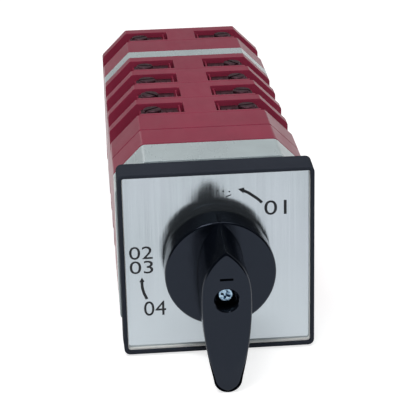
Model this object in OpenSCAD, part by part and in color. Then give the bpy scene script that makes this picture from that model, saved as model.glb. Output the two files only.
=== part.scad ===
// Panel-mounted rotary cam changeover switch, in millimetres.
// +X is right and +Z is up as seen from the front; +Y runs back along the switch axis.
// The origin is on the switch axis, in the plane where the panel sheet is clamped.

/* [Face plate] */
// Side of the square bezel where it meets the panel
bezel_size = 64; // [52:1:78]
// Mould draft of the bezel, taken off each side at its front edge
bezel_draft = 0.2; // [0.2:0.1:1]
// Depth of the bezel in front of the panel
bezel_depth = 10.4; // [8:0.2:14]
// Radius of the bezel's upright corner edges
bezel_corner_r = 2; // [2:0.2:5]
// Width of the bezel's rim beside the dial plate recess
bezel_rim = 1.3; // [0.8:0.1:2]
// Depth of the dial plate's face behind the bezel's front edge
dial_recess = 2.1; // [1:0.1:3]
// Thickness of the metal dial plate
dial_t = 0.8; // [0.5:0.1:1.2]
// Corner radius of the dial plate
dial_corner_r = 0.8; // [0.8:0.2:3]

/* [Housings] */
// Width across the flats of the eight-sided housings
body_size = 65; // [54:1:78]
// Size of the 45 degree corner cut, along each side
corner_cut = 10; // [8:0.5:12]
// Radius of the edge between a corner cut and a side face
side_edge_r = 1.5; // [1:0.5:5]
// Length of the grey front housing
front_len = 16.8; // [14:0.2:22]
// Length of the first latch housing
latch_front_len = 15.2; // [12:0.2:20]
// Length of the second latch housing
latch_rear_len = 16.5; // [12:0.5:20]
// Length of the grey divider between the fourth and fifth contact blocks
divider_len = 8; // [6:0.2:14]
// Length of the plain spacer in front of the fifth contact block
spacer_len = 15.2; // [8:0.2:18]

/* [Contact blocks] */
// Length of one contact block
block_len = 18.3; // [16.6:0.1:24]
// Length of the full rim at the rear of a block
rim_len = 5.4; // [4:0.2:7]
// Thickness of the wall across the top and bottom in front of a block's terminals
lip_t = 1.8; // [1:0.1:2.4]
// Width of the middle web between the left and right terminals
web_w = 11.5; // [9:0.5:14]
// Width of the slot between the web and the terminal seat
slot_w = 1.6; // [1:0.1:2.5]
// Depth of that slot below the top face
slot_depth = 7.5; // [5:0.5:9]
// Depth of the terminal seat below the top face
seat_depth = 2.7; // [2:0.1:3.5]
// Distance of a terminal seat's outer end inside the top flat's end
seat_end_inset = 1.05; // [0.5:0.05:2]
// Depth of the open wire entry at each corner, down from the top face
entry_depth = 17; // [14:0.5:20]

/* [Terminals] */
// Gap between a contact rail and each end of its seat
rail_end_gap = 0.4; // [0.2:0.1:0.8]
// Width of a contact rail, along the switch
rail_w = 9; // [7:0.5:9.5]
// Thickness of a contact rail
rail_t = 1; // [0.6:0.1:1.2]
// Distance of a terminal screw from its seat's outer end
screw_inset = 4.45; // [4.3:0.05:5]
// Diameter of a terminal screw's thread
screw_d = 4; // [3:0.5:4]
// Length of a terminal screw's thread below its washer
screw_len = 9; // [6:0.5:12]
// Diameter of a terminal screw's head
screw_head_d = 6.4; // [5.5:0.1:7]
// Height of a terminal screw's head
screw_head_h = 1.1; // [0.8:0.1:1.2]
// Diameter of the washer under a terminal screw's head
washer_d = 8; // [7.5:0.1:8.4]
// Thickness of that washer
washer_t = 0.4; // [0.3:0.1:0.4]
// Width of a screwdriver slot
driver_slot_w = 0.9; // [0.6:0.1:1.2]
// Depth of a screwdriver slot
driver_slot_depth = 0.7; // [0.4:0.1:0.8]

/* [Shaft and handle] */
// Diameter of the switch shaft
shaft_d = 8; // [6:0.5:9]
// Distance of the shaft's rear end inside the last block's rear face
shaft_end_recess = 0.6; // [0.2:0.1:2]
// Radius of the handle's round disc
disc_r = 18; // [16:0.5:20]
// Distance from the dial plate to the disc's front face
disc_height = 11.8; // [9:0.2:14]
// Thickness of the disc at its edge
disc_t = 7.4; // [5:0.2:8]
// How far the neck behind the disc stays inside the disc's edge
neck_inset = 0.6; // [0.3:0.1:6]
// Distance from the dial plate to the lever's flat front
lever_height = 32.4; // [26:0.2:36]
// Half width of the lever's front at its widest
lever_half_w = 7.85; // [6.8:0.05:8.5]
// Half width of the lever at its widest where it meets the disc
lever_foot_half_w = 7.4; // [6.8:0.1:8.5]
// Height of the lever's widest place, from the axis
belly_z = -2.5; // [-6:0.5:0]
// Reach of the lever's pointed end at its flat front
prow_reach = 16.4; // [14:0.2:17]
// Fullness of the pointed end, a higher value is blunter
prow_power = 3.2; // [2:0.1:5]
// Reach of the lever's rounded grip end
grip_reach = 32.2; // [26:0.1:32.4]
// Radius of the grip's round end
grip_end_r = 3.8; // [3:0.1:5]
// Fullness of the grip's sides, a higher value tapers later
grip_power = 1.6; // [1.2:0.1:3]
// Thickness of the lever at the grip end
grip_end_t = 9.5; // [7:0.5:14]
// Diameter of the screw well in the lever
well_d = 7.6; // [7:0.2:9]
// Depth of the screw well
well_depth = 6.8; // [5:0.2:12]
// Diameter of the handle screw's head
handle_head_d = 5.6; // [4.5:0.1:6.5]
// Height of the handle screw's head
handle_head_h = 2.3; // [1.5:0.1:3]
// Diameter of the handle screw's thread
handle_screw_d = 3; // [2.5:0.5:4]
// Length of the handle screw's thread
handle_screw_len = 12; // [8:1:20]
// Width of the cross in the handle screw's head
cross_w = 3.4; // [2.4:0.2:4.4]
// Turn of that cross
cross_turn = 20; // [0:5:85]
// Width of the moulded dash above the well
dash_w = 4.2; // [2:0.2:6]
// Distance from the well's edge up to the middle of the dash
dash_rise = 3.3; // [2:0.1:5]
// Height of that dash
dash_h = 0.8; // [0.4:0.1:1.5]
// Depth of that dash
dash_depth = 0.8; // [0.2:0.1:1.2]

/* [Fasteners] */
// Distance of a tie rod from the housings' side
tie_inset = 8; // [6.5:0.5:12]
// Diameter of a tie rod
tie_d = 4; // [3:0.5:5]
// Width of a tie rod nut across its flats
nut_af = 7; // [6:0.5:8]
// Thickness of a tie rod nut
nut_t = 3.2; // [2.4:0.2:4]
// Diameter of a tie rod washer
tie_washer_d = 9; // [8:0.5:10]
// Thickness of a tie rod washer
tie_washer_t = 0.8; // [0.5:0.1:1.2]
// Length of tie rod that stands out of its nut
tie_stub = 1.6; // [0.5:0.1:4]
// Least distance of a panel screw from the bezel's sides
panel_margin = 8; // [6:0.5:12]
// Least distance of a panel screw from the front housing's corner cut
panel_corner_margin = 4.9; // [3:0.1:8]
// Diameter of a panel screw's thread
panel_screw_d = 4; // [3:0.5:4]
// Diameter of a panel screw's head
panel_head_d = 7; // [5.5:0.5:8]
// Height of a panel screw's head
panel_head_h = 2.6; // [1.8:0.1:3]
// Reach of a panel screw into the front housing
panel_screw_reach = 9; // [6:0.5:12]

/* [Clearances] */
// Gap round the dial plate in its recess
dial_gap = 0.2; // [0.1:0.05:0.4]
// Radial clearance of the shaft in its two bearings
bearing_gap = 0.05; // [0.02:0.01:0.08]
// Radial clearance of the shaft where it only passes through
shaft_pass_gap = 0.5; // [0.3:0.1:1]
// Radial clearance of the shaft in the bezel and the dial plate
front_pass_gap = 2; // [1:0.5:3]
// Radial clearance round screws and tie rods
screw_gap = 0.1; // [0.05:0.05:0.3]
// Gap between the handle's neck and the dial plate
neck_gap = 0.5; // [0.3:0.1:1]
// Thickness of the wall between the screw well and the shaft socket
well_floor_t = 2.5; // [1.5:0.5:4]
// End gap of the shaft's socket in the handle
socket_end_gap = 0.2; // [0.1:0.1:0.5]

/* [Hidden] */
$fn = 64;
hull_fn = 32;
eps = 0.01;

black = [0.13, 0.13, 0.15];
red = [0.55, 0.16, 0.24];
grey = [0.66, 0.70, 0.70];
silver = [0.75, 0.78, 0.82];
steel = [0.62, 0.63, 0.65];
brass = [0.76, 0.64, 0.38];

half = body_size / 2;
tie_x = half - tie_inset;
bezel_y = -bezel_depth;
dial_y = bezel_y + dial_recess;
bezel_front_size = bezel_size - 2 * bezel_draft;
recess_size = bezel_front_size - 2 * bezel_rim;
dial_size = recess_size - 2 * dial_gap;
// The panel screws keep clear of the bezel's sides and of the housing's corner cuts
panel_pitch = min(bezel_size - 2 * panel_margin, body_size - corner_cut - panel_corner_margin * sqrt(2));

// Front faces of the housings, one after another along +Y
latch_front_y = front_len;
latch_rear_y = latch_front_y + latch_front_len;
stack_y = latch_rear_y + latch_rear_len;
front_blocks = 4;
divider_y = stack_y + front_blocks * block_len;
spacer_y = divider_y + divider_len;
last_block_y = spacer_y + spacer_len;
rear_y = last_block_y + block_len;

pocket_len = block_len - rim_len;
rail_y = (lip_t + pocket_len) / 2;
seat_x0 = web_w / 2 + slot_w;
seat_x1 = half - corner_cut - seat_end_inset;
seat_w = seat_x1 - seat_x0;
seat_z = half - seat_depth;
rail_len = seat_w - 2 * rail_end_gap;
rail_top = seat_z + rail_t;
screw_x = seat_x1 - screw_inset;

disc_y = dial_y - disc_height;
disc_back_y = disc_y + disc_t;
neck_r = disc_r - neck_inset;
neck_y = dial_y - neck_gap;
lever_y = dial_y - lever_height;
well_floor_y = lever_y + well_depth;
socket_y = well_floor_y + well_floor_t;
shaft_front_y = socket_y + socket_end_gap;
shaft_rear_y = rear_y - shaft_end_recess;

// Drawn upright in X and Z, from y0 back to y0 + len
module along_y(y0, len) {
    translate([0, y0 + len, 0])
        rotate([90, 0, 0])
            linear_extrude(height = len)
                children();
}

// A round bar or hole along +Y
module rod_y(x, z, y0, len, r) {
    translate([x, y0 + len, z])
        rotate([90, 0, 0])
            cylinder(h = len, r = r);
}

module rounded_square(size, r) {
    square([size - 2 * r, size], center = true);
    square([size, size - 2 * r], center = true);
    for (sx = [-1, 1], sz = [-1, 1])
        translate([sx * (size / 2 - r), sz * (size / 2 - r)])
            circle(r = r);
}

// Housing outline: a square with 45 degree corner cuts, rounded where a cut meets a side
module housing_outline() {
    flat = half - corner_cut;
    set_back = side_edge_r * tan(22.5);
    diag = set_back * sqrt(0.5);
    upper = [[half, flat - set_back], [half - diag, flat + diag], [flat, half]];
    right = concat([for (p = upper) p], [for (i = [2:-1:0]) [-upper[i][0], upper[i][1]]]);
    polygon(concat(right, [for (i = [5:-1:0]) [right[i][0], -right[i][1]]]));
    for (sx = [-1, 1], sz = [-1, 1])
        translate([sx * (half - side_edge_r), sz * (flat - set_back)])
            circle(r = side_edge_r);
}

module tie_holes(y0, len) {
    for (sx = [-1, 1])
        rod_y(sx * tie_x, 0, y0 - eps, len + 2 * eps, tie_d / 2 + screw_gap);
}

// A plain housing section with its shaft and tie rod holes
module section(y0, len, shaft_gap) {
    difference() {
        along_y(y0, len)
            housing_outline();
        rod_y(0, 0, y0 - eps, len + 2 * eps, shaft_d / 2 + shaft_gap);
        tie_holes(y0, len);
    }
}

module bezel() {
    color(black)
        difference() {
            hull() {
                along_y(-eps, eps)
                    bezel_corners(bezel_size);
                along_y(bezel_y, eps)
                    bezel_corners(bezel_front_size);
            }
            along_y(bezel_y - eps, dial_recess + dial_t + eps)
                rounded_square(recess_size, dial_corner_r + dial_gap);
            rod_y(0, 0, dial_y, -dial_y + eps, shaft_d / 2 + front_pass_gap);
            for (sx = [-1, 1], sz = [-1, 1])
                panel_screw_hole(sx * panel_pitch / 2, sz * panel_pitch / 2);
        }
}

module bezel_corners(size) {
    for (sx = [-1, 1], sz = [-1, 1])
        translate([sx * (size / 2 - bezel_corner_r), sz * (size / 2 - bezel_corner_r)])
            circle(r = bezel_corner_r, $fn = hull_fn);
}

module panel_screw_hole(x, z) {
    rod_y(x, z, dial_y, -dial_y + eps, panel_screw_d / 2 + screw_gap);
    rod_y(x, z, dial_y, dial_t + panel_head_h, panel_head_d / 2 + screw_gap);
}

module dial_plate() {
    color(silver)
        difference() {
            along_y(dial_y, dial_t)
                rounded_square(dial_size, dial_corner_r);
            rod_y(0, 0, dial_y - eps, dial_t + 2 * eps, shaft_d / 2 + front_pass_gap);
        }
}

// Screws under the dial plate that hold the bezel and the panel to the front housing
module panel_screws() {
    color(steel)
        for (sx = [-1, 1], sz = [-1, 1])
            panel_screw(sx * panel_pitch / 2, sz * panel_pitch / 2);
}

module panel_screw(x, z) {
    rod_y(x, z, dial_y + dial_t, panel_head_h, panel_head_d / 2);
    rod_y(x, z, dial_y + dial_t, panel_screw_reach - dial_y - dial_t, panel_screw_d / 2);
}

module front_housing() {
    color(grey)
        difference() {
            section(0, front_len, bearing_gap);
            for (sx = [-1, 1], sz = [-1, 1])
                rod_y(sx * panel_pitch / 2, sz * panel_pitch / 2, -eps,
                      panel_screw_reach + screw_gap + eps, panel_screw_d / 2 + screw_gap);
        }
}

module latch_housing_front() {
    color(red)
        section(latch_front_y, latch_front_len, shaft_pass_gap);
}

module latch_housing_rear() {
    color(red)
        section(latch_rear_y, latch_rear_len, shaft_pass_gap);
}

module divider() {
    color(grey)
        section(divider_y, divider_len, shaft_pass_gap);
}

module spacer() {
    color(red)
        section(spacer_y, spacer_len, shaft_pass_gap);
}

// Cross-section of a contact block where its four corners are open for the wires
module pocket_outline() {
    square([web_w, body_size], center = true);
    square([2 * seat_x1, body_size - 2 * slot_depth], center = true);
    square([body_size, body_size - 2 * entry_depth], center = true);
    for (sx = [-1, 1])
        translate([sx * (seat_x0 + seat_w / 2), 0])
            square([seat_w, body_size - 2 * seat_depth], center = true);
}

module contact_block(y0, shaft_gap) {
    color(red)
        difference() {
            union() {
                along_y(y0, lip_t)
                    square([2 * seat_x1, body_size], center = true);
                along_y(y0, pocket_len + eps)
                    pocket_outline();
                along_y(y0 + pocket_len, rim_len)
                    housing_outline();
            }
            rod_y(0, 0, y0 - eps, block_len + 2 * eps, shaft_d / 2 + shaft_gap);
            tie_holes(y0, block_len);
            for_terminals(y0)
                translate([0, 0, washer_t - screw_len - screw_gap])
                    cylinder(h = screw_len + screw_gap - washer_t, r = screw_d / 2 + screw_gap);
        }
}

// Places children at the four terminal screws of a block, on the rail's upper face, +Z outwards
module for_terminals(y0) {
    for (sx = [-1, 1], sz = [0, 1])
        mirror([0, 0, sz])
            translate([sx * screw_x, y0 + rail_y, rail_top])
                children();
}

module contact_rails(y0) {
    color(brass)
        for (sx = [-1, 1], sz = [0, 1])
            mirror([0, 0, sz])
                difference() {
                    translate([sx * (seat_x0 + seat_w / 2), y0 + rail_y, seat_z + rail_t / 2])
                        cube([rail_len, rail_w, rail_t], center = true);
                    translate([sx * screw_x, y0 + rail_y, seat_z - eps])
                        cylinder(h = rail_t + 2 * eps, r = screw_d / 2 + screw_gap);
                }
}

module clamp_washers(y0) {
    color(steel)
        for_terminals(y0)
            difference() {
                cylinder(h = washer_t, r = washer_d / 2);
                translate([0, 0, -eps])
                    cylinder(h = washer_t + 2 * eps, r = screw_d / 2 + screw_gap);
            }
}

module terminal_screws(y0) {
    color(steel)
        for_terminals(y0)
            difference() {
                union() {
                    translate([0, 0, washer_t])
                        cylinder(h = screw_head_h, r = screw_head_d / 2);
                    translate([0, 0, washer_t - screw_len])
                        cylinder(h = screw_len, r = screw_d / 2);
                }
                translate([0, 0, washer_t + screw_head_h])
                    cube([screw_head_d + 2 * eps, driver_slot_w, 2 * driver_slot_depth], center = true);
            }
}

module tie_rods() {
    len = rear_y - panel_screw_reach + tie_washer_t + nut_t + tie_stub;
    color(steel)
        for (sx = [-1, 1])
            rod_y(sx * tie_x, 0, panel_screw_reach, len, tie_d / 2);
}

module tie_washers() {
    color(steel)
        for (sx = [-1, 1])
            difference() {
                rod_y(sx * tie_x, 0, rear_y, tie_washer_t, tie_washer_d / 2);
                rod_y(sx * tie_x, 0, rear_y - eps, tie_washer_t + 2 * eps, tie_d / 2 + screw_gap);
            }
}

module tie_nuts() {
    y0 = rear_y + tie_washer_t;
    color(steel)
        for (sx = [-1, 1])
            difference() {
                translate([sx * tie_x, y0 + nut_t, 0])
                    rotate([90, 0, 0])
                        cylinder(h = nut_t, r = nut_af / 2 / cos(30), $fn = 6);
                rod_y(sx * tie_x, 0, y0 - eps, nut_t + 2 * eps, tie_d / 2 + screw_gap);
            }
}

module shaft() {
    color(steel)
        difference() {
            rod_y(0, 0, shaft_front_y, shaft_rear_y - shaft_front_y, shaft_d / 2);
            rod_y(0, 0, shaft_front_y - eps, handle_screw_len, handle_screw_d / 2 + screw_gap);
        }
}

// Half width of the lever at a share t of the way from its widest place to either end
function prow_x(t, w) = w * (1 - pow(t, prow_power));
function grip_x(t, w) = w - (w - grip_end_r) * pow(t, grip_power);

// One side of the lever's outline, from its pointed end down to where the round end starts
function lever_side(w, prow) = concat(
    [for (i = [10:-1:0]) [prow_x(i / 10, w), belly_z + i / 10 * (prow - belly_z)]],
    [for (i = [1:8]) [grip_x(i / 8, w), belly_z - i / 8 * (grip_reach - grip_end_r + belly_z)]]);

module lever_outline(w, prow) {
    side = lever_side(w, prow);
    last = len(side) - 1;
    polygon(concat(side, [for (i = [last:-1:1]) [-side[i][0], side[i][1]]]));
    translate([0, grip_end_r - grip_reach])
        circle(r = grip_end_r, $fn = hull_fn);
}

module handle() {
    color(black)
        difference() {
            union() {
                rod_y(0, 0, disc_y, disc_t, disc_r);
                rod_y(0, 0, disc_back_y - eps, neck_y - disc_back_y + eps, neck_r);
                hull() {
                    along_y(lever_y, grip_end_t)
                        lever_outline(lever_half_w, prow_reach);
                    along_y(disc_y, eps)
                        intersection() {
                            lever_outline(lever_foot_half_w, disc_r);
                            circle(r = disc_r, $fn = hull_fn);
                        }
                }
            }
            rod_y(0, 0, lever_y - eps, well_depth + eps, well_d / 2);
            rod_y(0, 0, well_floor_y - eps, well_floor_t + 2 * eps, handle_screw_d / 2 + screw_gap);
            rod_y(0, 0, socket_y, neck_y - socket_y + eps, shaft_d / 2 + bearing_gap);
            along_y(lever_y - eps, dash_depth + eps)
                translate([0, well_d / 2 + dash_rise])
                    square([dash_w, dash_h], center = true);
        }
}

module handle_screw() {
    head_y = well_floor_y - handle_head_h;
    color(steel)
        difference() {
            union() {
                rod_y(0, 0, head_y, handle_head_h, handle_head_d / 2);
                rod_y(0, 0, head_y, handle_head_h + handle_screw_len, handle_screw_d / 2);
            }
            for (a = [0, 90])
                translate([0, head_y, 0])
                    rotate([0, a + cross_turn, 0])
                        cube([cross_w, 2 * driver_slot_depth, driver_slot_w], center = true);
        }
}

bezel();
dial_plate();
panel_screws();
front_housing();
latch_housing_front();
latch_housing_rear();
contact_block(stack_y, shaft_pass_gap);  // contact_block_1
contact_block(stack_y + block_len, shaft_pass_gap);  // contact_block_2
contact_block(stack_y + 2 * block_len, shaft_pass_gap);  // contact_block_3
contact_block(stack_y + 3 * block_len, shaft_pass_gap);  // contact_block_4
divider();
spacer();
contact_block(last_block_y, bearing_gap);  // contact_block_5
contact_rails(stack_y);  // contact_rails_1
contact_rails(stack_y + block_len);  // contact_rails_2
contact_rails(stack_y + 2 * block_len);  // contact_rails_3
contact_rails(stack_y + 3 * block_len);  // contact_rails_4
contact_rails(last_block_y);  // contact_rails_5
clamp_washers(stack_y);  // clamp_washers_1
clamp_washers(stack_y + block_len);  // clamp_washers_2
clamp_washers(stack_y + 2 * block_len);  // clamp_washers_3
clamp_washers(stack_y + 3 * block_len);  // clamp_washers_4
clamp_washers(last_block_y);  // clamp_washers_5
terminal_screws(stack_y);  // terminal_screws_1
terminal_screws(stack_y + block_len);  // terminal_screws_2
terminal_screws(stack_y + 2 * block_len);  // terminal_screws_3
terminal_screws(stack_y + 3 * block_len);  // terminal_screws_4
terminal_screws(last_block_y);  // terminal_screws_5
tie_rods();
tie_washers();
tie_nuts();
shaft();
handle();
handle_screw();
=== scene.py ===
"""Panel-mounted rotary changeover switch: its looks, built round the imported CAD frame.

Sizes are in millimetres and the meshes in metres. X is right, Y runs back along the switch
axis and Z is up. A piece is modelled in place, so its object stays at the origin.
"""

import math
from contextlib import contextmanager

import bmesh
import bpy
from mathutils import Matrix, Vector


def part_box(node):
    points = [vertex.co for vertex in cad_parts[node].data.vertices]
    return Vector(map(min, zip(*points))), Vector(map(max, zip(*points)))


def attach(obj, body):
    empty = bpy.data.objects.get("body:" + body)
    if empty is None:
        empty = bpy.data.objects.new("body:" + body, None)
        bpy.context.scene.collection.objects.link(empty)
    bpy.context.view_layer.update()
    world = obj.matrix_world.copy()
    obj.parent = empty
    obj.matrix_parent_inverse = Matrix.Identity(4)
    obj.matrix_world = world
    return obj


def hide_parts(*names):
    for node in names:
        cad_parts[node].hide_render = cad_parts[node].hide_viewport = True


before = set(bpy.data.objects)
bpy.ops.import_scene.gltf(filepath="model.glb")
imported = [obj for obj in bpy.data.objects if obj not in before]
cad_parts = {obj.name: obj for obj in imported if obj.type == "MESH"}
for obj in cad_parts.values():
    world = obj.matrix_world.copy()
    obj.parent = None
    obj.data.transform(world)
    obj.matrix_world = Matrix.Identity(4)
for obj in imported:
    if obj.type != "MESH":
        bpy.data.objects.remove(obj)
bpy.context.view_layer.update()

MM = 0.001
NEAR = 0.01
BODY, KNOB = "switch_body", "handle_body"
UPRIGHT = (math.radians(90), 0, 0)

# Where a ladder's rows wait until they are moved into place, and how far apart
WAITING_Z, WAITING_GAP = 5000, 10

# The eight-sided outline that all housings share, and the holes in them
HALF = 32.5
CORNER_CUT = 10
SIDE_EDGE_R = 1.5
TOP_EDGE = 0.35
TIE_X = 24.5
M4_HOLE_R = 2.1
SHAFT_HOLE_R, BEARING_R = 4.5, 4.05
KNOB_SCREW_HOLE_R = 1.6

# A contact block's front part: where its web, rib and seats end sideways, how high each of
# them stands, the wall before the terminals, the full rim behind them and the screw holes
WEB_X, RIB_X0, RIB_X1, SEAT_X1 = 5.75, 6.75, 7.35, 21.45
SLOT_Z, ENTRY_Z, RIB_Z, SEAT_Z = 25, 15.5, 31.3, 29.8
WALL_T, RIM_LEN = 1.8, 5.4
SCREW_X, SCREW_HOLE_DEEP = 17, 8.4
BLOCK_EDGE = 0.22


# ---------------------------------------------------------------- hands

def mm(*lengths):
    return tuple(MM * length for length in lengths)


def reach(node):
    """A CAD node's lowest and highest corner, in millimetres."""
    low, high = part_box(node)
    return low / MM, high / MM


def only(*pieces):
    bpy.ops.object.select_all(action="DESELECT")
    for piece in pieces:
        piece.select_set(True)
    bpy.context.view_layer.objects.active = pieces[0]


@contextmanager
def editing(piece):
    only(piece)
    bpy.ops.object.mode_set(mode="EDIT")
    yield
    bpy.ops.object.mode_set(mode="OBJECT")


def settle(name):
    """Names the new primitive and puts its place into its mesh."""
    piece = bpy.context.object
    piece.name = piece.data.name = name
    bpy.ops.object.transform_apply(location=True, rotation=True, scale=True)
    return piece


def box(name, low, high):
    bpy.ops.object.select_all(action="DESELECT")
    middle = [(a + b) / 2 for a, b in zip(low, high)]
    size = [b - a for a, b in zip(low, high)]
    bpy.ops.mesh.primitive_cube_add(size=MM, location=mm(*middle), scale=size)
    return settle(name)


def bar(name, x, z, y0, y1, radius, sides=64, tip=None):
    """A round bar along Y, or a cone when its rear end has a radius of its own, tip."""
    bpy.ops.object.select_all(action="DESELECT")
    bpy.ops.mesh.primitive_cone_add(
        vertices=sides, radius1=MM * radius, radius2=MM * (radius if tip is None else tip),
        depth=MM * (y1 - y0), location=mm(x, (y0 + y1) / 2, z), rotation=(-math.pi / 2, 0, 0))
    return settle(name)


def post(name, x, y, z0, z1, radius, sides=48):
    """A round bar that stands upright."""
    bpy.ops.object.select_all(action="DESELECT")
    bpy.ops.mesh.primitive_cylinder_add(
        vertices=sides, radius=MM * radius, depth=MM * (z1 - z0), location=mm(x, y, (z0 + z1) / 2))
    return settle(name)


def pick(kind, wanted):
    """Selects the parts that wanted(place, way) accepts: place is the middle in millimetres,
    and way is a face's normal, an edge's direction or a vertex's normal."""
    bpy.ops.mesh.select_mode(type=kind)
    bpy.ops.mesh.select_all(action="DESELECT")
    mesh = bpy.context.edit_object.data
    shape = bmesh.from_edit_mesh(mesh)
    if kind == "VERT":
        for v in shape.verts:
            v.select_set(bool(wanted(v.co / MM, v.normal)))
    elif kind == "EDGE":
        for e in shape.edges:
            a, b = (v.co for v in e.verts)
            e.select_set(bool(wanted((a + b) / 2 / MM, (b - a).normalized())))
    else:
        for f in shape.faces:
            f.select_set(bool(wanted(f.calc_center_median() / MM, f.normal)))
    bmesh.update_edit_mesh(mesh)


def lengthwise(place, way):
    """For pick: edges that run along the switch axis."""
    return abs(way.y) > 0.9


def crosswise(place, way):
    """For pick: edges that run across the switch axis."""
    return abs(way.y) < 0.1


def facing_front(place, way):
    return way.y < -0.9


def facing_back(place, way):
    return way.y > 0.9


def bevel(width, steps=2):
    bpy.ops.mesh.bevel(offset=MM * width, segments=steps, affect="EDGES", clamp_overlap=True)


def bevel_sharp(width, angle=30):
    """Bevels every edge of the piece in edit mode that is sharper than angle."""
    bpy.ops.mesh.select_mode(type="EDGE")
    bpy.ops.mesh.select_all(action="DESELECT")
    bpy.ops.mesh.edges_select_sharp(sharpness=math.radians(angle))
    bevel(width)


def inset(width):
    bpy.ops.mesh.inset(thickness=MM * width)


def shift(x, y, z):
    bpy.ops.transform.translate(value=mm(x, y, z))


def scale(x, y, z, about):
    bpy.ops.transform.resize(value=(x, y, z), center_override=mm(*about))


def tilt(axis, degrees, about):
    bpy.ops.transform.rotate(value=-math.radians(degrees), orient_axis=axis, orient_type="GLOBAL",
                             center_override=mm(*about))


def draw_out(y):
    """Extrudes what is selected along the switch axis."""
    bpy.ops.mesh.extrude_region_move(TRANSFORM_OT_translate={"value": mm(0, y, 0)})


def applied(piece, kind, **settings):
    """Adds a modifier to the piece and applies it."""
    only(piece)
    step = piece.modifiers.new(kind.lower(), kind)
    for key, value in settings.items():
        setattr(step, key, value)
    bpy.ops.object.modifier_apply(modifier=step.name)


def cut_away(piece, *tools):
    for tool in tools:
        applied(piece, "BOOLEAN", operation="DIFFERENCE", solver="EXACT", object=tool)
        bpy.data.objects.remove(tool)


def grow_on(piece, *others):
    for other in others:
        applied(piece, "BOOLEAN", operation="UNION", solver="EXACT", object=other)
        bpy.data.objects.remove(other)


def drill(piece, x, z, y0, y1, radius, sides=32):
    """Cuts a round hole along the switch axis, right through what lies between y0 and y1."""
    cut_away(piece, bar("hole", x, z, y0 - 1, y1 + 1, radius, sides))


def drill_down(piece, x, y, z0, z1):
    """Cuts an upright hole for an M4 screw."""
    cut_away(piece, post("hole", x, y, z0, z1, M4_HOLE_R, 32))


def ladder(name, rungs, y, columns=1):
    """A flat upright strip: a grid whose rows are moved, a corner at a time, to the rungs.
    Each rung is a pair of (x, z) places."""
    gaps = len(rungs) - 1
    bpy.ops.object.select_all(action="DESELECT")
    bpy.ops.mesh.primitive_grid_add(x_subdivisions=columns, y_subdivisions=gaps,
                                    size=MM * WAITING_GAP, rotation=UPRIGHT,
                                    location=mm(0, y, WAITING_Z))
    bpy.context.object.scale.y = gaps
    piece = settle(name)
    with editing(piece):
        for i, (left, right) in enumerate(rungs):
            z0 = WAITING_Z + WAITING_GAP * (gaps / 2 - i)
            for j in range(columns + 1):
                share = j / columns
                x0 = WAITING_GAP * (share - 0.5)
                x1, z1 = (a + share * (b - a) for a, b in zip(left, right))
                pick("VERT", lambda p, n: abs(p.z - z0) < 1 and abs(p.x - x0) < 1)
                shift(x1 - x0, 0, z1 - z0)
        bpy.ops.mesh.select_all(action="SELECT")
        bpy.ops.mesh.remove_doubles(threshold=MM * 0.004)
    return piece


def gather(name, *pieces):
    """Joins loose parts into one piece."""
    only(*pieces)
    bpy.ops.object.join()
    piece = bpy.context.object
    piece.name = piece.data.name = name
    return piece


def copy_of(piece, name, move=(0, 0, 0), turn=Matrix.Identity(4)):
    """A copy with a mesh of its own, turned and then moved in its mesh."""
    twin = piece.copy()
    twin.data = piece.data.copy()
    twin.name = twin.data.name = name
    bpy.context.scene.collection.objects.link(twin)
    twin.data.transform(turn)
    if turn.determinant() < 0:
        twin.data.flip_normals()
    twin.data.transform(Matrix.Translation(mm(*move)))
    return twin


def fit(piece, material, body=BODY, node=None, smooth=40, weighted=True):
    """Shades a piece, gives it its material and hangs it on its body."""
    only(piece)
    bpy.ops.object.shade_smooth_by_angle(angle=math.radians(smooth))
    if weighted:
        applied(piece, "WEIGHTED_NORMAL", keep_sharp=True, weight=50)
    piece.data.materials.clear()
    piece.data.materials.append(FINISHES[material])
    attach(piece, body)
    if node:
        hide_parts(node)


# ---------------------------------------------------------------- finishes

class Nodes:
    """The shader nodes of a material or a world. An input is a value, or the output of
    another node that is linked to it."""

    def __init__(self, tree):
        self.tree = tree

    def node(self, kind, inputs=None, **settings):
        made = self.tree.nodes.new("ShaderNode" + kind)
        for key, value in settings.items():
            setattr(made, key, value)
        for key, value in (inputs or {}).items():
            if hasattr(value, "is_output"):
                self.tree.links.new(value, made.inputs[key])
            else:
                made.inputs[key].default_value = value
        return made

    def spread(self, value, low, high, to_low=0.0, to_high=1.0):
        """Maps a value from low..high to to_low..to_high, and keeps it in there."""
        return self.node("MapRange", {"Value": value, "From Min": low, "From Max": high,
                                      "To Min": to_low, "To Max": to_high}).outputs["Result"]

    def plus(self, a, b, clamp=False):
        return self.node("Math", {0: a, 1: b}, operation="ADD", use_clamp=clamp).outputs[0]

    def times(self, a, b):
        return self.node("Math", {0: a, 1: b}, operation="MULTIPLY").outputs[0]

    def seen_light(self, bright):
        """A strength of bright for camera, glossy and transmission rays, and 0 for others."""
        path = self.node("LightPath").outputs
        seen = self.plus(path["Is Camera Ray"], path["Is Glossy Ray"], clamp=True)
        return self.times(self.plus(seen, path["Is Transmission Ray"], clamp=True), bright)


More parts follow.
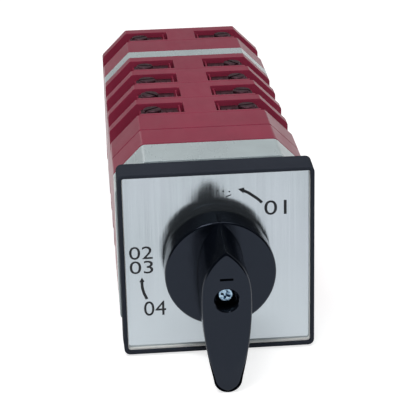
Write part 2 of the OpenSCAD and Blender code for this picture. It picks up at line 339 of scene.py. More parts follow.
class Finish(Nodes):
    """A material in the making: its shader, and the nodes that feed it."""

    def __init__(self, name, colour, roughness, metallic=0.0, specular=0.5, tinted=(1, 1, 1)):
        self.material = bpy.data.materials.new(name)
        self.material.use_nodes = True
        self.material.diffuse_color = (*colour, 1)
        super().__init__(self.material.node_tree)
        self.shader = self.tree.nodes["Principled BSDF"]
        self.set("Base Color", (*colour, 1))
        self.set("Roughness", roughness)
        self.set("Metallic", metallic)
        self.set("Specular IOR Level", specular)
        self.set("Specular Tint", (*tinted, 1))
        self.normal = None

    def set(self, socket, value):
        self.shader.inputs[socket].default_value = value

    def feed(self, socket, value):
        self.tree.links.new(value, self.shader.inputs[socket])

    def place(self, stretch=(1, 1, 1)):
        """Object coordinates, stretched for grain that runs one way."""
        at = self.node("TexCoord").outputs["Object"]
        return self.node("Mapping", {"Vector": at, "Scale": stretch}).outputs["Vector"]

    def noise(self, size, detail=2.0, rough=0.5, stretch=(1, 1, 1)):
        """Noise whose features are about size millimetres across."""
        return self.node("TexNoise", {"Vector": self.place(stretch), "Scale": 1 / (MM * size),
                                      "Detail": detail, "Roughness": rough}).outputs["Fac"]

    def blend(self, share, first, second):
        """A colour between two, by a share that a node gives."""
        first, second = (c if hasattr(c, "is_output") else (*c, 1) for c in (first, second))
        colour_a, colour_b, colour_out = 6, 7, 2
        return self.node("Mix", {"Factor": share, colour_a: first, colour_b: second},
                         data_type="RGBA").outputs[colour_out]

    def relief(self, height, depth):
        """Raises the surface by up to depth millimetres where the height value is one."""
        inputs = {"Height": height, "Distance": MM * depth, "Strength": 1.0}
        if self.normal is not None:
            inputs["Normal"] = self.normal
        self.normal = self.node("Bump", inputs).outputs["Normal"]
        self.feed("Normal", self.normal)


def tint(colour, share):
    return tuple(share * c for c in colour)


def moulded(name, colour, roughness, grain, worn, dust, specular=0.5, tinted=(1, 1, 1)):
    """Moulded plastic: a fine grain, slow unevenness of tone and gloss, and rubbed specks."""
    f = Finish(name, colour, roughness, specular=specular, tinted=tinted)
    slow = f.noise(22, detail=3, rough=0.6)
    flow = f.noise(6, detail=4, rough=0.55, stretch=(1, 0.25, 1))
    specks = f.spread(f.noise(0.9, detail=5, rough=0.7), 0.68, 0.76)
    tone = f.blend(f.spread(slow, 0.35, 0.65), tint(colour, 0.93), tint(colour, 1.07))
    f.feed("Base Color", f.blend(f.times(specks, dust), tone, worn))
    f.feed("Roughness", f.plus(f.spread(flow, 0.3, 0.7, roughness - 0.05, roughness + 0.05),
                               f.times(specks, 0.1)))
    f.relief(f.noise(0.28), grain)
    f.relief(flow, 2.5 * grain)
    return f.material


def brushed_dial():
    """Aluminium brushed up and down, slightly greyed, stained, and painted paler towards the
    bottom as a painted reflection.
    """
    colour, cloudy, lower, stain = ((0.405, 0.452, 0.486), (0.49, 0.52, 0.58),
                                    (0.49, 0.54, 0.575), (0.30, 0.33, 0.38))
    f = Finish("dial_brushed", colour, 0.2, metallic=0.9)
    fine = f.noise(1.0, detail=3, rough=0.6, stretch=(6.0, 1, 0.035))
    broad = f.noise(1.0, stretch=(0.6, 1, 0.006))
    lines = f.plus(f.times(fine, 0.65), f.times(broad, 0.35))
    height = f.node("SeparateXYZ", {"Vector": f.place()}).outputs["Z"]
    stains = f.noise(1.4, detail=4, rough=0.65)
    tone = f.blend(f.spread(lines, 0.36, 0.64), tint(colour, 0.90), tint(colour, 1.08))
    tone = f.blend(f.spread(f.noise(24), 0.35, 0.7, 0.0, 0.35), tone, cloudy)
    # Painted reflection: the plate is paler towards the bottom, standing in for the brighter
    # reflection it shows there
    tone = f.blend(f.spread(height, MM * -30, MM * 5, 1.0, 0.0), tone, lower)
    f.feed("Base Color", f.blend(f.spread(stains, 0.70, 0.78, 0.0, 0.35), tone, stain))
    f.feed("Roughness", f.spread(fine, 0.3, 0.7, 0.08, 0.16))
    f.relief(fine, 0.008)
    f.relief(broad, 0.022)
    return f.material


def plated(name, colour, roughness, dull, grain=0.004, patch=2.5):
    """Plated metal with a finely scratched skin and dull clouds about patch millimetres wide."""
    f = Finish(name, colour, roughness, metallic=1.0)
    cloud = f.noise(patch, detail=4, rough=0.6)
    scratch = f.noise(0.6, detail=3, rough=0.7, stretch=(1, 0.12, 1))
    f.feed("Base Color", f.blend(f.spread(cloud, 0.42, 0.66), colour, dull))
    f.feed("Roughness", f.spread(scratch, 0.3, 0.7, roughness - 0.08, roughness + 0.12))
    f.relief(scratch, grain)
    return f.material


def printed_ink():
    """Matt black print, rubbed grey in spots."""
    f = Finish("dial_ink", (0.022, 0.024, 0.028), 0.5, specular=0.3)
    rubbed = f.spread(f.noise(0.5, detail=4, rough=0.7), 0.60, 0.72)
    f.feed("Base Color", f.blend(rubbed, (0.018, 0.020, 0.024), (0.06, 0.065, 0.075)))
    f.feed("Roughness", f.spread(f.noise(1.2), 0.3, 0.7, 0.42, 0.58))
    f.relief(f.noise(0.15), 0.004)
    return f.material


FINISHES = {
    "bezel": moulded("bezel_matt_black", (0.035, 0.040, 0.053), 0.75, 0.006,
                     worn=(0.07, 0.07, 0.075), dust=0.5, specular=0.02),
    "knob": moulded("knob_satin_black", (0.003, 0.0042, 0.007), 0.15, 0.003,
                    worn=(0.05, 0.05, 0.055), dust=0.35, specular=0.3, tinted=(0.76, 0.9, 1.2)),
    "red": moulded("housing_dark_red", (0.285, 0.029, 0.064), 0.34, 0.005,
                   worn=(0.34, 0.10, 0.12), dust=0.35, specular=0.18),
    "grey": moulded("housing_light_grey", (0.47, 0.54, 0.555), 0.28, 0.005,
                    worn=(0.32, 0.36, 0.37), dust=0.3, specular=0.35),
    "dial": brushed_dial(),
    "ink": printed_ink(),
    # The cover trim's near-white colour is a painted highlight, standing in for the light the
    # clear cover's edge catches
    "trim": moulded("cover_trim_painted_highlight", (0.96, 0.95, 0.91), 0.35, 0.001,
                    worn=(0.7, 0.68, 0.62), dust=0.1),
    "zinc": plated("screw_blue_zinc", (0.34, 0.47, 0.58), 0.14, (0.05, 0.10, 0.17),
                   grain=0.03, patch=0.9),
    "steel": plated("steel_plain_zinc", (0.56, 0.58, 0.61), 0.34, (0.42, 0.43, 0.45)),
    # The terminal metal's dark reddish colours are painted shade of the deep pockets and a painted
    # reflection of their red walls
    "clamp": plated("terminal_zinc_painted_shade", (0.13, 0.060, 0.078), 0.50, (0.08, 0.032, 0.045)),
    "rail": plated("rail_plating_painted_shade", (0.15, 0.060, 0.080), 0.50, (0.10, 0.035, 0.050)),
}


# ---------------------------------------------------------------- housings

def eight_sided(name, y0, y1, top_edge=TOP_EDGE):
    """A cube between two planes, with its long corners cut and their side edges rounded."""
    piece = box(name, (-HALF, y0, -HALF), (HALF, y1, HALF))

    def long_edges(x):
        return lambda p, d: lengthwise(p, d) and abs(abs(p.x) - x) < NEAR

    with editing(piece):
        pick("EDGE", lengthwise)
        bevel(CORNER_CUT, 1)
        pick("EDGE", long_edges(HALF))
        bevel(SIDE_EDGE_R * math.tan(math.radians(22.5)), 6)
        pick("EDGE", long_edges(HALF - CORNER_CUT))
        bevel(top_edge)
    return piece


def bore_through(piece, y0, y1, shaft_r=SHAFT_HOLE_R):
    """Drills the holes of the shaft and of the two tie rods."""
    drill(piece, 0, 0, y0, y1, shaft_r, 64)
    for x in (-TIE_X, TIE_X):
        drill(piece, x, 0, y0, y1, M4_HOLE_R)


def section(node, name, colour, shaft_r=SHAFT_HOLE_R, end_edge=0.25, top_edge=TOP_EDGE, groove=0):
    """A plain housing section; groove is the size of the step round its front end."""
    low, high = reach(node)
    piece = eight_sided(name, low.y + groove, high.y, top_edge)
    with editing(piece):
        pick("EDGE", lambda p, d: min(abs(p.y - low.y - groove), abs(p.y - high.y)) < NEAR)
        bevel(end_edge)
        if groove:
            pick("FACE", facing_front)
            inset(groove - end_edge)
            draw_out(y=-groove)
    bore_through(piece, low.y, high.y, shaft_r)
    fit(piece, colour, node=node)


def in_block(x, z):
    """Whether a place of a contact block's front part is solid."""
    x, z = abs(x), abs(z)
    if x < WEB_X:
        return True
    if x < RIB_X0:
        return z < SLOT_Z
    if x < RIB_X1:
        return z < RIB_Z
    return z < (SEAT_Z if x < SEAT_X1 else ENTRY_Z)


def contact_block():
    """The first block: its full rim, with the stepped part that carries the seats drawn
    forward from the rim's front face."""
    low, high = reach("contact_block_1")
    rail_low, rail_high = reach("contact_rails_1")
    rim_y, middle = high.y - RIM_LEN, (rail_low.y + rail_high.y) / 2
    piece = eight_sided("block_1_shell", rim_y, high.y)
    cuts = [((side * x, 0, 0), (1, 0, 0)) for x in (WEB_X, RIB_X0, RIB_X1, SEAT_X1)
            for side in (-1, 1)]
    cuts += [((0, 0, side * z), (0, 0, 1)) for z in (ENTRY_Z, SLOT_Z, SEAT_Z, RIB_Z)
             for side in (-1, 1)]
    with editing(piece):
        for place, way in cuts:
            pick("FACE", facing_front)
            bpy.ops.mesh.bisect(plane_co=mm(*place), plane_no=way)
        pick("FACE", lambda p, n: facing_front(p, n) and in_block(p.x, p.z))
        draw_out(y=low.y - rim_y)
        bevel_sharp(BLOCK_EDGE)
    for z0, z1 in ((SLOT_Z - 1, HALF), (-HALF, 1 - SLOT_Z)):
        wall = box("wall", (-SEAT_X1, low.y, z0), (SEAT_X1, low.y + WALL_T, z1))
        with editing(wall):
            bevel_sharp(BLOCK_EDGE)
        grow_on(piece, wall)
    bore_through(piece, low.y, high.y)
    for x in (-SCREW_X, SCREW_X):
        drill_down(piece, x, middle, SEAT_Z - SCREW_HOLE_DEEP, SEAT_Z + 1)
        drill_down(piece, x, middle, -SEAT_Z - 1, -SEAT_Z + SCREW_HOLE_DEEP)
    return piece


def to_block(k):
    """The way from the first contact block to block k."""
    return (0, reach(f"contact_block_{k}")[0].y - reach("contact_block_1")[0].y, 0)


def on_every_block(first, name, material, node):
    """Copies a piece of the first contact block to the other four, and finishes all five."""
    for k in range(2, 6):
        fit(copy_of(first, name.format(k), to_block(k)), material, node=f"{node}_{k}")
    fit(first, material, node=f"{node}_1")


# ---------------------------------------------------------------- terminals

UPSIDE_DOWN = Matrix.Scale(-1, 4, (0, 0, 1))
LEFT_RIGHT = Matrix.Scale(-1, 4, (1, 0, 0))
CORNERS = (Matrix.Identity(4), LEFT_RIGHT, UPSIDE_DOWN, UPSIDE_DOWN @ LEFT_RIGHT)

# Turn of each block's four screw slots, as they were left by the driver
SLOT_TURNS = [(12, -38, 5, 64), (-21, 47, -8, 30), (35, -12, 71, -44), (-55, 18, 26, -15),
              (8, -27, 50, -33)]


def four_corners(part, name):
    """Gathers a terminal part with its mirror images at a block's other three corners."""
    return gather(name, part, *[copy_of(part, "twin", turn=corner) for corner in CORNERS[1:]])


def rail():
    """One flat contact rail with its clamping hole and the rivet of its fixed contact."""
    low, high = reach("contact_rails_1")
    top, middle = high.z, (low.y + high.y) / 2
    piece = box("rail", (7.75, low.y, top - 1), (21.05, high.y, top))
    with editing(piece):
        pick("EDGE", lambda p, d: abs(d.z) > 0.9 and p.x > 20)
        bevel(1.2, 4)
        bevel_sharp(0.14)
    drill_down(piece, SCREW_X, middle, top - 2, top + 1)
    rivet_top = top + 0.4
    rivet = post("rivet", 10.7, middle, top - 0.3, rivet_top, 1.35, 24)
    with editing(rivet):
        pick("EDGE", lambda p, d: p.z > rivet_top - NEAR)
        bevel(0.3, 3)
    return gather("rail", piece, rivet)


def clamp_washer():
    low, high = reach("clamp_washers_1")
    under, middle = high.z - 0.4, (low.y + high.y) / 2
    piece = post("washer", SCREW_X, middle, under, high.z, 4)
    with editing(piece):
        bevel_sharp(0.1)
    drill_down(piece, SCREW_X, middle, under - 1, high.z + 1)
    return piece


def slotted_screw():
    """A cheese-head screw with a rounded head, its slot cut across."""
    low, high = reach("terminal_screws_1")
    under, top, middle = reach("clamp_washers_1")[1].z, high.z, (low.y + high.y) / 2
    piece = post("screw", SCREW_X, middle, under, top, 3.2)
    with editing(piece):
        pick("EDGE", lambda p, d: p.z > top - NEAR)
        bevel(0.45, 4)
    cut_away(piece, box("slot", (SCREW_X - 4, middle - 0.45, top - 0.7),
                        (SCREW_X + 4, middle + 0.45, top + 1)))
    tip = under - 9
    shank = post("shank", SCREW_X, middle, tip, under + 0.1, 2.0, 32)
    with editing(shank):
        pick("EDGE", lambda p, d: p.z < tip + NEAR)
        bevel(0.4)
    return gather("screw", piece, shank)


def turned(screw, angle, corner):
    """A copy of a terminal screw, turned about its own upright axis and taken to its corner."""
    low, high = reach("terminal_screws_1")
    axis = Matrix.Translation(mm(SCREW_X, (low.y + high.y) / 2, 0))
    spin = axis @ Matrix.Rotation(math.radians(angle), 4, "Z") @ axis.inverted()
    return copy_of(screw, "head", turn=corner @ spin)


def terminals():
    """Rails, washers and screws of block 1, and their copies on the other blocks."""
    rails = four_corners(rail(), "rails_1")
    washers = four_corners(clamp_washer(), "washers_1")
    screw = slotted_screw()
    for k, turns in enumerate(SLOT_TURNS, start=1):
        heads = [turned(screw, angle, corner) for angle, corner in zip(turns, CORNERS)]
        screws = gather(f"screws_{k}", *heads)
        screws.data.transform(Matrix.Translation(mm(*to_block(k))))
        fit(screws, "clamp", node=f"terminal_screws_{k}")
    bpy.data.objects.remove(screw)
    on_every_block(rails, "rails_{}", "rail", "contact_rails")
    on_every_block(washers, "washers_{}", "clamp", "clamp_washers")


# ---------------------------------------------------------------- face plate

def bezel():
    """The black frame: drafted sides, a recess for the dial, and rounded rims."""
    low, high = reach("bezel")
    half, front_half, rim, recess_y = high.x, high.x - 0.2, 1.3, -7.5
    screw_at, screw_head_r, screw_head_deep = 24, 3.6, 2.6
    piece = box("bezel_frame", (-half, low.y, -half), (half, 0, half))

    def on_front(place):
        return place.y < low.y + NEAR

    def outward(place):
        return max(abs(place.x), abs(place.z))

    with editing(piece):
        pick("EDGE", lengthwise)
        bevel(2, 6)
        pick("FACE", facing_front)
        scale(front_half / half, 1, front_half / half, (0, low.y, 0))
        inset(rim)
        draw_out(y=recess_y - low.y)
        pick("EDGE", lambda p, d: on_front(p) and outward(p) > front_half - 0.55)
        bevel(0.35, 3)
        pick("EDGE", lambda p, d: on_front(p) and outward(p) < front_half - 1.2)
        bevel(0.15)
        pick("EDGE", lambda p, d: p.y > -NEAR)
        bevel(0.25)
    drill(piece, 0, 0, recess_y, 0, 6, 64)
    for x in (-screw_at, screw_at):
        for z in (-screw_at, screw_at):
            drill(piece, x, z, recess_y, 0, M4_HOLE_R)
            cut_away(piece, bar("head_seat", x, z, recess_y - 1, recess_y + screw_head_deep,
                                screw_head_r, 32))
    fit(piece, "bezel", node="bezel")


def dial():
    """The brushed plate, the edge of its clear cover painted pale as a highlight, and the printed
    marks.
    """
    low, high = reach("dial_plate")
    piece = box("dial_plate_brushed", low, high)
    with editing(piece):
        pick("EDGE", lengthwise)
        bevel(0.8, 4)
        pick("EDGE", lambda p, d: p.y < low.y + NEAR)
        bevel(0.12)
    drill(piece, 0, 0, low.y, high.y, 6, 64)
    fit(piece, "dial", node="dial_plate")
    cover_trim(low.y)
    marks(low.y)


def cover_trim(face_y):
    """A thin band round the dial that stands off its face, thicker along the bottom. Its
    near-white colour is a painted highlight for the light the clear cover's edge catches.
    """
    outer, wall, bottom_extra = 30.46, 0.2, 0.35
    trim = box("cover_trim", (-outer, face_y - 1.1, -outer), (outer, face_y - 0.02, outer))
    with editing(trim):
        pick("EDGE", lengthwise)
        bevel(0.9, 4)
        pick("FACE", lambda p, n: abs(n.y) > 0.9)
        inset(wall)
        scale(1, 1, 1 - bottom_extra / (2 * outer), (0, 0, outer))
        bpy.ops.mesh.bridge_edge_loops()
    fit(trim, "trim")


# Print on the dial: its thickness, the arrows' line width, and the boxes of the numbers
PRINT_T, ARROW_W = 0.03, 0.95
NUMBERS = {"01": (15.6, 22.9, 15.0, 20.0), "02": (-28.9, -21.2, 1.6, 6.1),
           "03": (-28.9, -21.2, -3.5, 1.0), "04": (-24.7, -17.4, -18.8, -13.6)}


def printed(text, x0, x1, z0, z1, y):
    """Plain numbers fitted to a box on the dial."""
    bpy.ops.object.select_all(action="DESELECT")
    bpy.ops.object.text_add()
    word = bpy.context.object
    word.data.body = text
    word.data.resolution_u = 6
    bpy.ops.object.convert(target="MESH")
    word = bpy.context.object
    xs = [v.co.x for v in word.data.vertices]
    zs = [v.co.y for v in word.data.vertices]
    sx, sz = (x1 - x0) / (max(xs) - min(xs)), (z1 - z0) / (max(zs) - min(zs))
    for step in (Matrix.Translation((-min(xs), -min(zs), 0)),
                 Matrix.Diagonal((MM * sx, MM * sz, 1, 1)),
                 Matrix.Rotation(math.radians(90), 4, "X"),
                 Matrix.Translation(mm(x0, y, z0))):
        word.data.transform(step)
    with editing(word):
        bpy.ops.mesh.select_all(action="SELECT")
        bpy.ops.mesh.remove_doubles(threshold=MM * 0.005)
    return raised(word)


def raised(piece):
    """Gives flat print its thickness, towards the front."""
    with editing(piece):
        bpy.ops.mesh.select_all(action="SELECT")
        draw_out(y=-PRINT_T)
        bpy.ops.mesh.select_all(action="SELECT")
        bpy.ops.mesh.normals_make_consistent(inside=False)
    return piece


def arrow(path, barbs, tip, y):
    """A bent arrow: a strip along its path that ends in a solid pointed head."""
    rungs = []
    for i, (x, z) in enumerate(path):
        ahead, behind = path[min(i + 1, len(path) - 1)], path[max(i - 1, 0)]
        way = Vector((ahead[0] - behind[0], ahead[1] - behind[1])).normalized() * ARROW_W / 2
        rungs.append(((x + way.y, z - way.x), (x - way.y, z + way.x)))
    return raised(ladder("arrow", [*rungs, barbs, (tip, tip)], y))


def speck(x, z, size, y):
    """A small worn dot of print."""
    dot = bar("speck", x, z, y - PRINT_T, y, size / 2, 7)
    with editing(dot):
        pick("VERT", lambda p, n: p.x > x)
        scale(1.2, 1, 0.8, (x, y, z))
    return dot


def marks(face_y):
    """The dial's numbers, its two arrows, and what is left of a worn dash and dots."""
    ink = face_y - 0.01
    prints = [printed(text, *place, ink) for text, place in NUMBERS.items()]
    prints += [
        arrow([(14.84, 19.41), (13.4, 20.85), (11.89, 21.99), (10.4, 23.1), (8.95, 23.85)],
              ((8.8, 22.95), (9.1, 24.95)), (7.1, 24.5), ink),
        arrow([(-23.6, -12.7), (-24.5, -10.6), (-25.0, -8.6), (-25.1, -6.6)],
              ((-25.95, -6.5), (-24.25, -6.3)), (-25.0, -4.9), ink),
        raised(ladder("dash", [((3.2, 21.95), (3.1, 22.25)), ((4.9, 22.5), (4.8, 22.8))], ink)),
        speck(2.3, 24.02, 0.6, ink), speck(0.47, 24.26, 0.45, ink), speck(4.23, 23.77, 0.55, ink)]
    fit(gather("dial_marks", *prints), "ink", weighted=False)


# ---------------------------------------------------------------- handle

# The lever's front outline: the heights of its point, its widest place and its grip's end,
# half its width, the radius of the grip's end, and the round of its front edge
PROW_Z, BELLY_Z, GRIP_Z, LEVER_W, GRIP_R, FRONT_R = 16.4, -2.5, -32.2, 7.85, 4.5, 0.8

# Its foot on the disc: half its width, how much that narrows over what run below the belly,
# and how far down the straight part of it goes
FOOT_W, FOOT_NARROWS, FOOT_RUN, FOOT_LEN = 7.4, 3.6, 25.9, 14.6

# The two sloped facets of the grip: where the V between them starts, its way, and their lean
FACET_APEX_Z, FACET_WAY, FACET_LEAN = -25.6, (0.593, 0.805), 12


def point_rows(tip_z, half_width):
    """Rows from the lever's pointed end down to its belly."""
    return [(BELLY_Z + t * (tip_z - BELLY_Z), half_width * (1 - t ** 3.2))
            for t in (i / 20 for i in range(20, -1, -1))]


def lever_rows():
    """Height and half width of each row of the lever's front outline, from top to bottom."""
    rows = point_rows(PROW_Z, LEVER_W)
    for i in range(1, 16):
        t = i / 16
        rows.append((BELLY_Z - t * (BELLY_Z - GRIP_Z - GRIP_R),
                     LEVER_W - (LEVER_W - GRIP_R) * t ** 1.8))
    for i in range(9):
        a = math.radians(15 + 75 * i / 8)
        rows.append((GRIP_R + GRIP_Z - GRIP_R * math.sin(a), GRIP_R * math.cos(a) if i < 8 else 0))
    return rows


def foot_rows(disc_r):
    """The same rows where the lever meets the disc, its lower end cut short by the disc."""
    rows = point_rows(disc_r, FOOT_W)
    for i in range(1, 16):
        down = i * FOOT_LEN / 15
        rows.append((BELLY_Z - down, FOOT_W - FOOT_NARROWS * (down / FOOT_RUN) ** 1.6))
    last = rows[-1][1]
    for i in range(1, 10):
        x = last * (1 - i / 9)
        rows.append((-math.sqrt(disc_r ** 2 - x ** 2) + 0.05, x))
    return rows


def set_in(rows, amount):
    """The outline moved inwards by amount, row by row."""
    moved = []
    for i, (z, w) in enumerate(rows):
        above, below = rows[max(i - 1, 0)], rows[min(i + 1, len(rows) - 1)]
        way = Vector((above[0] - below[0], below[1] - above[1])).normalized()
        if i == 0:
            moved.append((z - amount / way.x, 0))
        elif i == len(rows) - 1:
            moved.append((z + amount, 0))
        else:
            moved.append((z - amount * way.y, w - amount * way.x))
    return moved


def lever_rings(length, disc_r):
    """Depth behind the lever's front, and rows, of each ring that its sides pass through."""
    outline, foot, side_end = lever_rows(), foot_rows(disc_r), 9.5
    rings = []
    for angle in (0, 22.5, 45, 67.5, 90):
        a = math.radians(angle)
        rings.append((FRONT_R * (1 - math.cos(a)), set_in(outline, FRONT_R * (1 - math.sin(a)))))
    rings.append((side_end, outline))
    for share in (0.5, 0.96):
        rings.append((side_end + share * (length - side_end),
                      [(z0 + share * (z1 - z0), w0 + share * (w1 - w0))
                       for (z0, w0), (z1, w1) in zip(outline, foot)]))
    rings.append((length + 0.08, [(z, w + 0.3 * min(1, w)) for z, w in foot]))
    return rings


def lever(front_y, disc_y, disc_r):
    """The pointed lever: a ladder in the shape of its flat front, drawn back ring by ring
    through the round of its front edge, its sides and its wider foot."""
    (_, last), *rings = lever_rings(disc_y - front_y, disc_r)
    piece = ladder("handle_moulding", [((-w, z), (w, z)) for z, w in last], front_y, columns=2)
    too_far, same_row = 0.2, 0.003
    with editing(piece):
        bpy.ops.mesh.select_all(action="SELECT")
        at = front_y
        for depth, rows in rings:
            if at != front_y:
                pick("FACE", lambda p, n: abs(p.y - at) < NEAR)
            # Drawn too far, and brought back row by row, so that no row is moved twice
            draw_out(y=front_y + depth + too_far - at)
            at = front_y + depth
            for (z0, w0), (z1, w1) in zip(last, rows):
                pick("VERT", lambda p, n: p.y > at + too_far / 2 and abs(p.z - z0) < same_row)
                shift(0, -too_far, z1 - z0)
                scale(w1 / w0 if w0 else 1, 1, 1, (0, at, z1))
            last = rows
        bpy.ops.mesh.select_all(action="SELECT")
        bpy.ops.mesh.normals_make_consistent(inside=False)
        grip_facets(front_y)
        pick("EDGE", lambda p, d: abs(p.x) < NEAR and p.z > PROW_Z - 0.6 and abs(d.y) > 0.5
             and p.y > front_y + 0.7)
        bevel(0.5, 3)
    return piece


def grip_facets(front_y):
    """Scores the grip's front along a V and leans each part below it back."""
    apex = Vector((0, front_y, FACET_APEX_Z))
    run, rise = FACET_WAY

    def below(p, side):
        return (p - apex).dot((side * rise, 0, -run)) > NEAR

    for side in (-1, 1):
        pick("FACE", lambda p, n: side * p.x > 0 and p.y < front_y + 1 and p.z < -14)
        bpy.ops.mesh.bisect(plane_co=mm(*apex), plane_no=(side * rise, 0, -run))
    # The middle line only leans back, and both sides also turn outwards
    for side in (-1, 0, 1):
        pick("VERT", lambda p, n: p.y < front_y + 0.7 and below(p, side or 1)
             and (side * p.x > NEAR if side else abs(p.x) < NEAR))
        tilt("X", FACET_LEAN * run, apex)
        if side:
            tilt("Z", side * FACET_LEAN * rise, apex)


def handle():
    """Lever, disc with its small ridge on top, and neck, with the screw's well and holes."""
    low, high = reach("handle")
    front_y, neck_y, disc_r = low.y, high.y, high.x
    disc_y, disc_back, well_y = front_y + 20.6, front_y + 28.0, front_y + 6.8
    piece = lever(front_y, disc_y, disc_r)
    disc = bar("disc", 0, 0, disc_y, disc_back, disc_r, 128)
    with editing(disc):
        pick("EDGE", crosswise)
        bevel(0.7, 4)
    ridge = box("ridge", (-0.8, disc_y + 0.4, disc_r - 1), (0.8, disc_back - 0.4, disc_r + 0.45))
    with editing(ridge):
        pick("EDGE", lambda p, d: lengthwise(p, d) and p.z > disc_r)
        bevel(0.55, 1)
    grow_on(piece, disc, ridge, bar("neck", 0, 0, disc_back - 0.5, neck_y, disc_r - 0.6, 128))
    cut_away(piece, bar("well", 0, 0, front_y - 1, well_y, 3.8),
             bar("well_mouth", 0, 0, front_y - 0.4, front_y + 0.35, 4.5, tip=3.75),
             bar("hole", 0, 0, front_y + 6, front_y + 10, KNOB_SCREW_HOLE_R, 32),
             bar("socket", 0, 0, front_y + 9.3, neck_y + 1, BEARING_R),
             box("dash", (-2.1, front_y - 1, 6.7), (2.1, front_y + 1.0, 7.5)))
    fit(piece, "knob", KNOB, "handle", smooth=30)


def handle_screw():
    """Cross-head screw at the bottom of the handle's well."""
    low, high = reach("handle_screw")
    front, under, cross_y = low.y, low.y + 2.3, low.y + 1.2
    piece = bar("handle_screw_zinc", 0, 0, front, under, high.x, 48)
    with editing(piece):
        pick("EDGE", lambda p, d: p.y < front + NEAR)
        bevel(0.8, 5)
    for angle in (20, 110):
        arm = box("cross", (-2.2, front - 1, -0.5), (2.2, cross_y, 0.5))
        with editing(arm):
            pick("FACE", facing_back)
            scale(0.35, 1, 0.6, (0, cross_y, 0))
        arm.data.transform(Matrix.Rotation(math.radians(angle), 4, "Y"))
        cut_away(piece, arm)
    shank = bar("shank", 0, 0, under - 0.1, high.y, 1.5, 32)
    fit(gather("handle_screw_zinc", piece, shank), "zinc", KNOB, "handle_screw")


def shaft():
    """The round shaft, with the handle screw's hole and a centre mark in its rear end."""
    low, high = reach("shaft")
    piece = bar("shaft_bar", 0, 0, low.y, high.y, high.x)
    with editing(piece):
        bevel_sharp(0.4, angle=60)
    cut_away(piece, bar("hole", 0, 0, low.y - 1, low.y + 12, KNOB_SCREW_HOLE_R, 32),
             bar("centre", 0, 0, high.y - 0.9, high.y + 0.1, 0.2, 32, tip=1.2))
    fit(piece, "steel", KNOB, "shaft")


# ---------------------------------------------------------------- tie rods

ROD_R, GROOVE_R, HALF_PITCH, THREAD_TURNS, THREADED = 2.0, 1.72, 0.35, 8, 6


def threaded_rod(x):
    """A tie rod with its rear end threaded: rings drawn out and narrowed in turn."""
    low, high = reach("tie_rods")
    y, radius = high.y - THREADED, ROD_R
    piece = bar("rod", x, 0, low.y, y, ROD_R, 32)
    with editing(piece):
        pick("FACE", facing_back)
        for wanted in THREAD_TURNS * (GROOVE_R, ROD_R):
            draw_out(y=HALF_PITCH)
            y += HALF_PITCH
            scale(wanted / radius, 1, wanted / radius, (x, y, 0))
            radius = wanted
        draw_out(y=high.y - y)
        scale(0.8, 1, 0.8, (x, high.y, 0))
    return piece


def hex_nut(x):
    low, high = reach("tie_nuts")
    piece = bar("nut", x, 0, low.y, high.y, 3.5 / math.cos(math.radians(30)), 6)
    with editing(piece):
        pick("EDGE", crosswise)
        bevel(0.25)
    drill(piece, x, 0, low.y, high.y, M4_HOLE_R)
    cut_away(piece, bar("mouth", x, 0, high.y - 0.4, high.y + 0.1, M4_HOLE_R, 32, tip=2.7))
    return piece


def flat_washer(x):
    low, high = reach("tie_washers")
    piece = bar("ring", x, 0, low.y, high.y, 4.5, 48)
    with editing(piece):
        bevel_sharp(0.12)
    drill(piece, x, 0, low.y, high.y, M4_HOLE_R)
    return piece


def tie_parts():
    for name, make, node in (("tie_rods_threaded", threaded_rod, "tie_rods"),
                             ("tie_nuts_hex", hex_nut, "tie_nuts"),
                             ("tie_washers_flat", flat_washer, "tie_washers")):
        fit(gather(name, make(-TIE_X), make(TIE_X)), "steel", node=node)


# ---------------------------------------------------------------- the switch

def build():
    bezel()
    dial()
    section("front_housing", "front_housing_shell", "grey", BEARING_R, top_edge=0.9)
    section("latch_housing_front", "latch_front_shell", "red", end_edge=0.15, top_edge=0.8,
            groove=0.6)
    section("latch_housing_rear", "latch_rear_shell", "red", end_edge=0.15, groove=0.6)
    section("divider", "divider_shell", "grey")
    section("spacer", "spacer_shell", "red")
    on_every_block(contact_block(), "block_{}_shell", "red", "contact_block")
    terminals()
    handle()
    handle_screw()
    shaft()
    tie_parts()
    # Hidden under the dial, so the CAD's own screws serve
    panel_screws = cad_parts["panel_screws"]
    panel_screws.data.materials.clear()
    panel_screws.data.materials.append(FINISHES["zinc"])


# ---------------------------------------------------------------- camera and light

def camera():
    turn, rise, lean = math.radians(-4.438), math.radians(21.432), math.radians(-1.269)
    place = mm(-40.617, -496.056, 210.499)
    back = Vector((math.sin(turn) * math.cos(rise), -math.cos(turn) * math.cos(rise),
                   math.sin(rise)))
    right = (-back).cross(Vector((0, 0, 1))).normalized()
    up = right.cross(-back)
    across = right * math.cos(lean) + up * math.sin(lean)
    upward = -right * math.sin(lean) + up * math.cos(lean)
    data = bpy.data.cameras.new("camera")
    data.lens, data.sensor_width = 140.4, 36
    eye = bpy.data.objects.new("camera", data)
    eye.matrix_world = (Matrix.Translation(place)
                        @ Matrix((across, upward, back)).transposed().to_4x4())
    bpy.context.scene.collection.objects.link(eye)
    bpy.context.scene.camera = eye


def softbox(name, place, aim, size, watts, colour=(1, 1, 1)):
    data = bpy.data.lights.new(name, "AREA")
    data.shape, data.energy, data.color = "RECTANGLE", watts, colour
    data.size, data.size_y = size
    lamp = bpy.data.objects.new(name, data)
    lamp.location = place
    lamp.rotation_euler = (Vector(aim) - Vector(place)).to_track_quat("-Z", "Y").to_euler()
    lamp.visible_camera = False
    bpy.context.scene.collection.objects.link(lamp)


def white_floor():
    """A matt floor that looks white to the camera and in reflections, and keeps shadows."""
    bpy.ops.object.select_all(action="DESELECT")
    bpy.ops.mesh.primitive_plane_add(size=12, location=mm(0, 0, -HALF))
    floor = settle("floor")
    paper = Finish("floor_white", (0.62, 0.62, 0.62), 1.0, specular=0.0)
    paper.set("Emission Color", (1, 1, 1, 1))
    paper.feed("Emission Strength", paper.seen_light(0.72))
    floor.data.materials.append(paper.material)


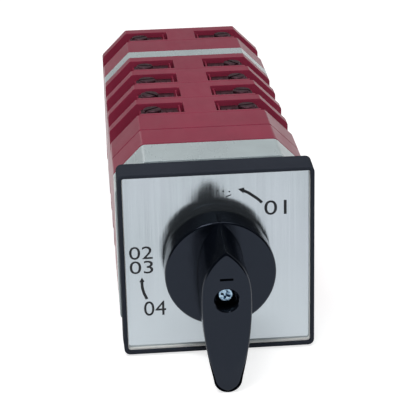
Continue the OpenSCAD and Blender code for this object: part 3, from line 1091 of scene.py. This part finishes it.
def black_card():
    """A low black card in front, out of the camera's sight, that keeps the knob's wall dark."""
    bpy.ops.object.select_all(action="DESELECT")
    bpy.ops.mesh.primitive_plane_add(size=1, location=mm(0, -260, 15), rotation=UPRIGHT,
                                     scale=(1.4, 0.09, 1))
    card = settle("black_card")
    card.visible_camera = card.visible_diffuse = card.visible_shadow = False
    black = Finish("card_black", (0.01, 0.01, 0.012), 0.5, specular=0.0)
    card.data.materials.append(black.material)


def studio_room():
    """The world: an even dim light, and what the camera and reflections see in place of it.
    That is a white wall low down, open to the back left, under a room that is darker in
    front and on the left."""
    world = bpy.data.worlds.new("studio")
    bpy.context.scene.world = world
    world.use_nodes = True
    n = Nodes(world.node_tree)
    way = n.node("TexCoord").outputs["Generated"]
    part = n.node("SeparateXYZ", {0: way}).outputs
    back_left = n.node("VectorMath", {0: way, 1: (-0.6, 0.8, 0)},
                       operation="DOT_PRODUCT").outputs["Value"]
    wall = n.times(n.spread(part["Z"], 0.0, 0.15, 1.0, 0.0),
                   n.spread(back_left, 0.6, 0.95, 1.0, 0.0))
    room = n.times(n.spread(part["Y"], -0.2, 0.2, 0.08, 0.34),
                   n.spread(part["X"], -0.35, 0.0, 0.2, 1.0))
    seen = n.node("Mix", {"Factor": wall, "A": room, "B": 1.0}).outputs["Result"]
    strength = n.node("Mix", {"Factor": n.seen_light(1.0), "A": 0.25, "B": seen})
    sky = n.tree.nodes["Background"]
    sky.inputs["Color"].default_value = (1, 1, 1, 1)
    n.tree.links.new(strength.outputs["Result"], sky.inputs["Strength"])


def studio():
    white_floor()
    studio_room()
    softbox("overhead", (-0.02, -0.2, 1.0), (0, 0.05, 0), (1.0, 1.0), 4.1)
    softbox("strip", (-0.23, -0.35, 0.85), (0, -0.02, 0), (0.4, 0.08), 2.6)
    softbox("back_left", (-0.35, 1.0, 0.36), (0, 0, 0), (0.35, 0.3), 0.4)
    softbox("front", (0, -1.0, 0.42), (0, 0, 0), (0.34, 0.25), 1.0, (0.75, 0.9, 1.0))
    black_card()


camera()
studio()
build()

bpy.context.scene.view_settings.view_transform = "Standard"
